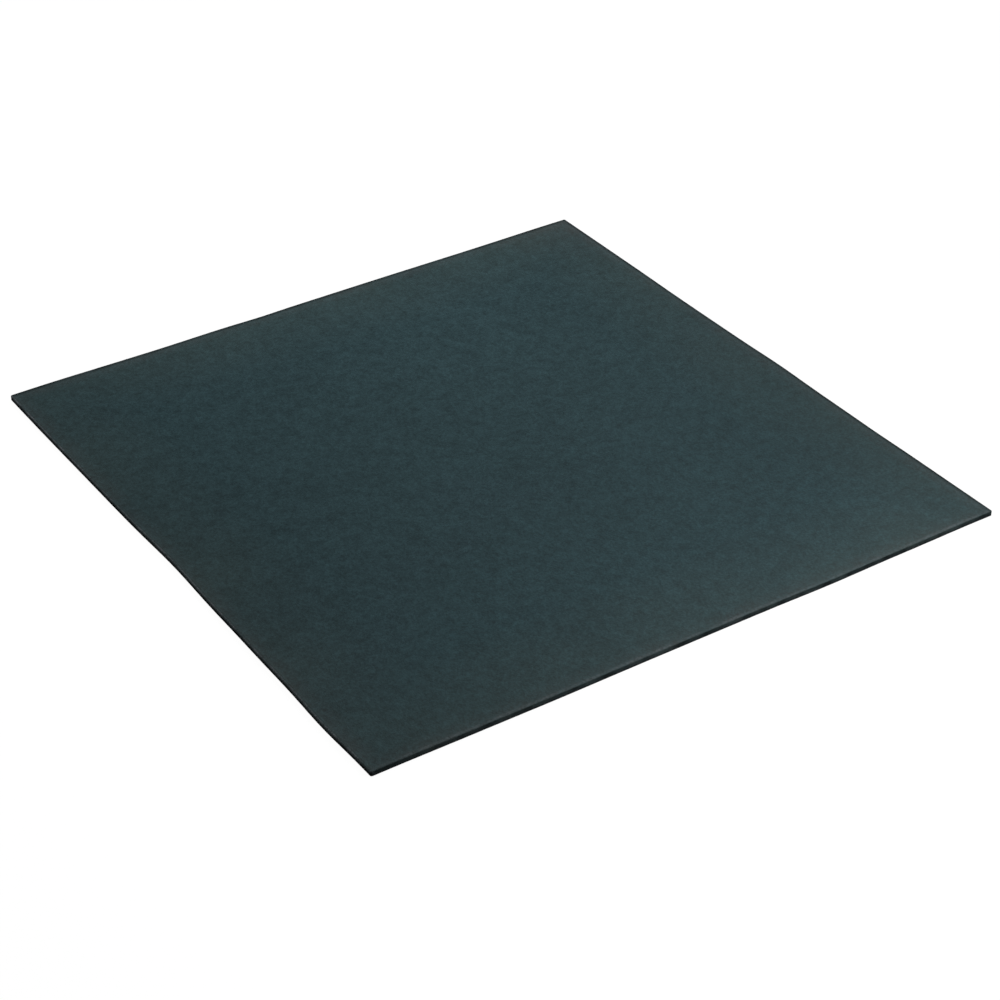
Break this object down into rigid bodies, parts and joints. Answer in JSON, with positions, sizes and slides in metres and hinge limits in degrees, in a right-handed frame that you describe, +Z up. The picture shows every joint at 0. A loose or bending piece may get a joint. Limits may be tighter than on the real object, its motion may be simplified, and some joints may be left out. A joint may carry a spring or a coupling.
{
  "type": "seedling heat mat",
  "caption": "Thin flat electric heat mat for seed trays: a laminated rubber sheet round a serpentine heating wire, with a flush edge inlet for its supply lead.",
  "frame": {"origin": "middle of the underside", "axes": "+Z up out of the tray surface, +X along the longer side, the supply inlet in the middle of the -X edge"},
  "size_m": [0.527, 0.508, 0.004],
  "materials": {
    "top_skin": "matte",
    "base_skin": "matte",
    "foam": "matte",
    "reflector": "polished",
    "fleece": "matte",
    "resistance_wire": "satin",
    "wire_sheath": "satin",
    "tape": "satin",
    "spreader": "satin",
    "lead_copper": "satin",
    "lead_insulation": "satin",
    "crimp": "satin",
    "sleeve": "satin",
    "cutout_case": "satin",
    "blade": "satin",
    "inlet_housing": "satin",
    "inlet_seal": "matte"
  },
  "bodies": {
    "root": {"top_cover": "top_skin", "bottom_cover": "base_skin", "insulation_foam": "foam", "reflector_foil": "reflector", "wire_carrier": "fleece", "heating_wire_core": "resistance_wire", "heating_wire_sheath": "wire_sheath", "fixing_tape_left": "tape", "fixing_tape_middle": "tape", "fixing_tape_right": "tape", "heat_spreader_foil": "spreader", "splice_crimp_supply": "crimp", "splice_crimp_return": "crimp", "splice_sleeve_supply": "sleeve", "splice_sleeve_return": "sleeve", "cutout_case": "cutout_case", "cutout_tab_supply": "blade", "cutout_tab_link": "blade", "cutout_sleeve": "sleeve", "supply_lead_conductor": "lead_copper", "supply_lead_insulation": "lead_insulation", "link_lead_conductor": "lead_copper", "link_lead_insulation": "lead_insulation", "return_lead_conductor": "lead_copper", "return_lead_insulation": "lead_insulation", "inlet_housing": "inlet_housing", "inlet_blade_supply": "blade", "inlet_blade_return": "blade", "inlet_seal": "inlet_seal"}
  },
  "joints": []
}
